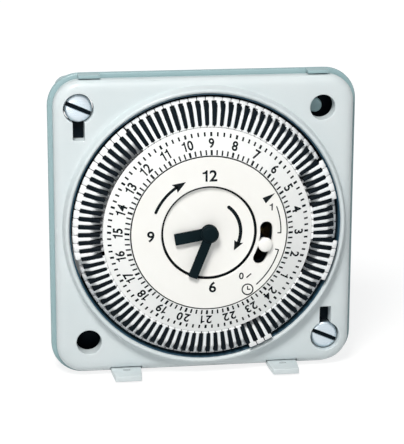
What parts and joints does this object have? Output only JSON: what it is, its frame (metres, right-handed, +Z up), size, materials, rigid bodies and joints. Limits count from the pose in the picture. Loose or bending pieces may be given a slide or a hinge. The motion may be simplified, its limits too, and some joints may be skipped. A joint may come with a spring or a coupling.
{
  "type": "panel-mounted 24 hour time switch",
  "caption": "Square panel-mounted time switch: day dial with rocking quarter-hour tappets, small clock hands, override knob, clamping claws and push-on terminals.",
  "frame": {"origin": "on the dial's axis, in the plane of the panel's front face, which the frame's flange seats on", "axes": "+Z up, +X to the right seen from the front, -Y out of the front, +Y into the panel"},
  "size_m": [0.072, 0.0552, 0.072],
  "materials": {
    "mounting_frame": "moulded, satin",
    "front_plate": "moulded, satin",
    "movement_plate": "moulded",
    "centre_dial": "printed white",
    "centre_disc": "printed white",
    "movement_bridge": "moulded",
    "bridge_screw_1": "zinc plated",
    "bridge_screw_2": "zinc plated",
    "bridge_screw_3": "zinc plated",
    "bridge_screw_4": "zinc plated",
    "motor_can": "zinc plated",
    "motor_coil": "enamelled copper wire",
    "break_contact": "silver plated",
    "make_contact": "silver plated",
    "blade_block": "moulded",
    "contact_block": "moulded",
    "rear_housing": "moulded",
    "rear_cover": "moulded",
    "motor_terminal_1": "tinned",
    "motor_terminal_2": "tinned",
    "switch_terminal_1": "tinned",
    "switch_terminal_2": "tinned",
    "switch_terminal_3": "tinned",
    "clamp_screw_upper": "zinc plated",
    "clamp_screw_lower": "zinc plated",
    "clamp_claw_upper": "zinc plated",
    "clamp_claw_lower": "zinc plated",
    "numeral_ring": "printed white",
    "tappet_carrier": "moulded",
    "minute_arbor": "turned",
    "minute_hand": "painted",
    "hour_wheel": "moulded",
    "hour_hand": "painted",
    "motion_wheel": "moulded",
    "dial_drive_wheel": "moulded",
    "motor_pinion": "turned",
    "override_lever": "moulded",
    "follower_lever": "moulded",
    "contact_blade": "spring strip",
    "tappets_01": "moulded",
    "tappets_02": "moulded",
    "tappets_03": "moulded",
    "tappets_04": "moulded",
    "tappets_05": "moulded",
    "tappets_06": "moulded",
    "tappets_07": "moulded",
    "tappets_08": "moulded",
    "tappets_09": "moulded",
    "tappets_10": "moulded",
    "tappets_11": "moulded",
    "tappets_12": "moulded",
    "tappets_13": "moulded",
    "tappets_14": "moulded",
    "tappets_15": "moulded",
    "tappets_16": "moulded",
    "tappets_17": "moulded",
    "tappets_18": "moulded",
    "tappets_19": "moulded"
  },
  "bodies": {
    "case": {"mounting_frame": "mounting_frame", "front_plate": "front_plate", "movement_plate": "movement_plate", "centre_dial": "centre_dial", "centre_disc": "centre_disc", "movement_bridge": "movement_bridge", "bridge_screw_1": "bridge_screw_1", "bridge_screw_2": "bridge_screw_2", "bridge_screw_3": "bridge_screw_3", "bridge_screw_4": "bridge_screw_4", "motor_can": "motor_can", "motor_coil": "motor_coil", "break_contact": "break_contact", "make_contact": "make_contact", "blade_block": "blade_block", "contact_block": "contact_block", "rear_housing": "rear_housing", "rear_cover": "rear_cover", "motor_terminal_1": "motor_terminal_1", "motor_terminal_2": "motor_terminal_2", "switch_terminal_1": "switch_terminal_1", "switch_terminal_2": "switch_terminal_2", "switch_terminal_3": "switch_terminal_3"},
    "dial": {"numeral_ring": "numeral_ring", "tappet_carrier": "tappet_carrier"},
    "minute": {"minute_arbor": "minute_arbor", "minute_hand": "minute_hand"},
    "hour": {"hour_wheel": "hour_wheel", "hour_hand": "hour_hand"},
    "motion_wheel": {"motion_wheel": "motion_wheel"},
    "dial_drive_wheel": {"dial_drive_wheel": "dial_drive_wheel"},
    "motor_pinion": {"motor_pinion": "motor_pinion"},
    "override_lever": {"override_lever": "override_lever"},
    "follower_lever": {"follower_lever": "follower_lever"},
    "contact_blade": {"contact_blade": "contact_blade"},
    "clamp_screw_upper": {"clamp_screw_upper": "clamp_screw_upper"},
    "clamp_screw_lower": {"clamp_screw_lower": "clamp_screw_lower"},
    "clamp_claw_upper": {"clamp_claw_upper": "clamp_claw_upper"},
    "clamp_claw_lower": {"clamp_claw_lower": "clamp_claw_lower"},
    "tappets_01": {"tappets_01": "tappets_01"},
    "tappets_02": {"tappets_02": "tappets_02"},
    "tappets_03": {"tappets_03": "tappets_03"},
    "tappets_04": {"tappets_04": "tappets_04"},
    "tappets_05": {"tappets_05": "tappets_05"},
    "tappets_06": {"tappets_06": "tappets_06"},
    "tappets_07": {"tappets_07": "tappets_07"},
    "tappets_08": {"tappets_08": "tappets_08"},
    "tappets_09": {"tappets_09": "tappets_09"},
    "tappets_10": {"tappets_10": "tappets_10"},
    "tappets_11": {"tappets_11": "tappets_11"},
    "tappets_12": {"tappets_12": "tappets_12"},
    "tappets_13": {"tappets_13": "tappets_13"},
    "tappets_14": {"tappets_14": "tappets_14"},
    "tappets_15": {"tappets_15": "tappets_15"},
    "tappets_16": {"tappets_16": "tappets_16"},
    "tappets_17": {"tappets_17": "tappets_17"},
    "tappets_18": {"tappets_18": "tappets_18"},
    "tappets_19": {"tappets_19": "tappets_19"}
  },
  "joints": [
    {"name": "minute_turn", "type": "hinge", "parent": "case", "child": "minute", "pos_m": [0, 0, 0], "axis": [0, 1, 0], "continuous": true},
    {"name": "hour_turn", "type": "hinge", "parent": "case", "child": "hour", "pos_m": [0, 0, 0], "axis": [0, 1, 0], "continuous": true},
    {"name": "dial_turn", "type": "hinge", "parent": "case", "child": "dial", "pos_m": [0, 0, 0], "axis": [0, 1, 0], "continuous": true},
    {"name": "motion_wheel_turn", "type": "hinge", "parent": "case", "child": "motion_wheel", "pos_m": [-0.00758, 0, 0.00438], "axis": [0, 1, 0], "continuous": true},
    {"name": "dial_drive_turn", "type": "hinge", "parent": "case", "child": "dial_drive_wheel", "pos_m": [0.01188, 0, -0.02057], "axis": [0, 1, 0], "continuous": true},
    {"name": "motor_pinion_turn", "type": "hinge", "parent": "case", "child": "motor_pinion", "pos_m": [-0.0045, 0, -0.00779], "axis": [0, 1, 0], "continuous": true},
    {"name": "override_swing", "type": "hinge", "parent": "case", "child": "override_lever", "pos_m": [0, 0, 0], "axis": [0, 1, 0], "range_deg": [-15, 13]},
    {"name": "follower_rock", "type": "hinge", "parent": "case", "child": "follower_lever", "pos_m": [-0.0299, -0.00215, -0.012], "axis": [1, 0, 0], "range_deg": [0, 6.5]},
    {"name": "contact_blade_flex", "type": "hinge", "parent": "case", "child": "contact_blade", "pos_m": [-0.0252, 0.0035, -0.014], "axis": [1, 0, 0], "range_deg": [0, 4.55]},
    {"name": "clamp_screw_upper_turn", "type": "hinge", "parent": "case", "child": "clamp_screw_upper", "pos_m": [-0.0291, 0, 0.0284], "axis": [0, 1, 0], "range_deg": [0, 3000]},
    {"name": "clamp_claw_upper_slide", "type": "slide", "parent": "case", "child": "clamp_claw_upper", "axis": [0, -1, 0], "range_m": [0, 0.005]},
    {"name": "clamp_screw_lower_turn", "type": "hinge", "parent": "case", "child": "clamp_screw_lower", "pos_m": [0.0291, 0, -0.0284], "axis": [0, 1, 0], "range_deg": [0, 3000]},
    {"name": "clamp_claw_lower_slide", "type": "slide", "parent": "case", "child": "clamp_claw_lower", "axis": [0, -1, 0], "range_m": [0, 0.005]},
    {"name": "tappets_01_rock", "type": "hinge", "parent": "dial", "child": "tappets_01", "pos_m": [0.02651, -0.00942, -0.0078], "axis": [-0.2823, 0, -0.9593], "range_deg": [-40, 0]},
    {"name": "tappets_02_rock", "type": "hinge", "parent": "dial", "child": "tappets_02", "pos_m": [0.02761, -0.00942, 0.00113], "axis": [0.041, 0, -0.9992], "range_deg": [0, 40]},
    {"name": "tappets_03_rock", "type": "hinge", "parent": "dial", "child": "tappets_03", "pos_m": [0.02578, -0.00942, 0.00995], "axis": [0.36, 0, -0.933], "range_deg": [-40, 0]},
    {"name": "tappets_04_rock", "type": "hinge", "parent": "dial", "child": "tappets_04", "pos_m": [0.02121, -0.00942, 0.01771], "axis": [0.6408, 0, -0.7677], "range_deg": [0, 40]},
    {"name": "tappets_05_rock", "type": "hinge", "parent": "dial", "child": "tappets_05", "pos_m": [0.0144, -0.00942, 0.02358], "axis": [0.8536, 0, -0.521], "range_deg": [0, 40]},
    {"name": "tappets_06_rock", "type": "hinge", "parent": "dial", "child": "tappets_06", "pos_m": [0.00605, -0.00942, 0.02696], "axis": [0.9757, 0, -0.219], "range_deg": [0, 40]},
    {"name": "tappets_07_rock", "type": "hinge", "parent": "dial", "child": "tappets_07", "pos_m": [-0.00294, -0.00942, 0.02747], "axis": [0.9943, 0, 0.1063], "range_deg": [0, 40]},
    {"name": "tappets_08_rock", "type": "hinge", "parent": "dial", "child": "tappets_08", "pos_m": [-0.01243, -0.00942, 0.02468], "axis": [0.8932, 0, 0.4497], "range_deg": [0, 40]},
    {"name": "tappets_09_rock", "type": "hinge", "parent": "dial", "child": "tappets_09", "pos_m": [-0.02032, -0.00942, 0.01872], "axis": [0.6775, 0, 0.7355], "range_deg": [-40, 0]},
    {"name": "tappets_10_rock", "type": "hinge", "parent": "dial", "child": "tappets_10", "pos_m": [-0.02561, -0.00942, 0.01036], "axis": [0.375, 0, 0.927], "range_deg": [-40, 0]},
    {"name": "tappets_11_rock", "type": "hinge", "parent": "dial", "child": "tappets_11", "pos_m": [-0.02763, -0.00942, -0.00023], "axis": [-0.0083, 0, 1], "range_deg": [-40, 0]},
    {"name": "tappets_12_rock", "type": "hinge", "parent": "dial", "child": "tappets_12", "pos_m": [-0.02578, -0.00942, -0.00995], "axis": [-0.36, 0, 0.933], "range_deg": [0, 40]},
    {"name": "tappets_13_rock", "type": "hinge", "parent": "dial", "child": "tappets_13", "pos_m": [-0.02121, -0.00942, -0.01771], "axis": [-0.6408, 0, 0.7677], "range_deg": [0, 40]},
    {"name": "tappets_14_rock", "type": "hinge", "parent": "dial", "child": "tappets_14", "pos_m": [-0.0144, -0.00942, -0.02358], "axis": [-0.8536, 0, 0.521], "range_deg": [0, 40]},
    {"name": "tappets_15_rock", "type": "hinge", "parent": "dial", "child": "tappets_15", "pos_m": [-0.00605, -0.00942, -0.02696], "axis": [-0.9757, 0, 0.219], "range_deg": [0, 40]},
    {"name": "tappets_16_rock", "type": "hinge", "parent": "dial", "child": "tappets_16", "pos_m": [0.00383, -0.00942, -0.02736], "axis": [-0.9903, 0, -0.1387], "range_deg": [0, 40]},
    {"name": "tappets_17_rock", "type": "hinge", "parent": "dial", "child": "tappets_17", "pos_m": [0.01161, -0.00942, -0.02507], "axis": [-0.9074, 0, -0.4202], "range_deg": [-40, 0]},
    {"name": "tappets_18_rock", "type": "hinge", "parent": "dial", "child": "tappets_18", "pos_m": [0.017, -0.00942, -0.02178], "axis": [-0.7883, 0, -0.6153], "range_deg": [0, 40]},
    {"name": "tappets_19_rock", "type": "hinge", "parent": "dial", "child": "tappets_19", "pos_m": [0.02259, -0.00942, -0.01591], "axis": [-0.5757, 0, -0.8176], "range_deg": [0, 40]}
  ],
  "couplings": [
    {"joint": "hour_turn", "follows": "minute_turn", "ratio": 0.083333},
    {"joint": "dial_turn", "follows": "minute_turn", "ratio": 0.041667},
    {"joint": "motion_wheel_turn", "follows": "minute_turn", "ratio": -0.25},
    {"joint": "dial_drive_turn", "follows": "minute_turn", "ratio": -0.16667},
    {"joint": "motor_pinion_turn", "follows": "minute_turn", "ratio": -3},
    {"joint": "contact_blade_flex", "follows": "follower_rock", "ratio": 0.7},
    {"joint": "clamp_screw_upper_turn", "follows": "clamp_claw_upper_slide", "rad_per_m": 10472},
    {"joint": "clamp_screw_lower_turn", "follows": "clamp_claw_lower_slide", "rad_per_m": 10472}
  ]
}
